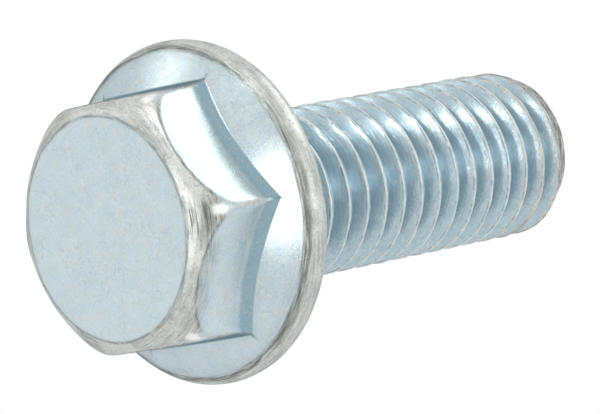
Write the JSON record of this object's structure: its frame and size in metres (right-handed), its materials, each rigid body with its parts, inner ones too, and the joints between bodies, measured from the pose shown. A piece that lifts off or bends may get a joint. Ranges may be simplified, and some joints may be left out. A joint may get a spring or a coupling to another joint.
{
  "type": "hexagon flange bolt",
  "caption": "Hexagon flange bolt in blue zinc-plated steel, threaded along the whole shank, for fastening through a clearance hole.",
  "frame": {"origin": "on the axis, in the plane of the bearing face under the flange, where the length of the bolt is measured from", "axes": "+Z along the axis from the head to the tip of the thread, +X through a corner of the hexagon; the bolt stands on its head"},
  "size_m": [0.0192, 0.0192, 0.0336],
  "materials": {
    "zinc_plated_steel": "zinc plated, clear blue passivated, satin"
  },
  "bodies": {
    "root": {"flange_bolt": "zinc_plated_steel"}
  },
  "joints": []
}
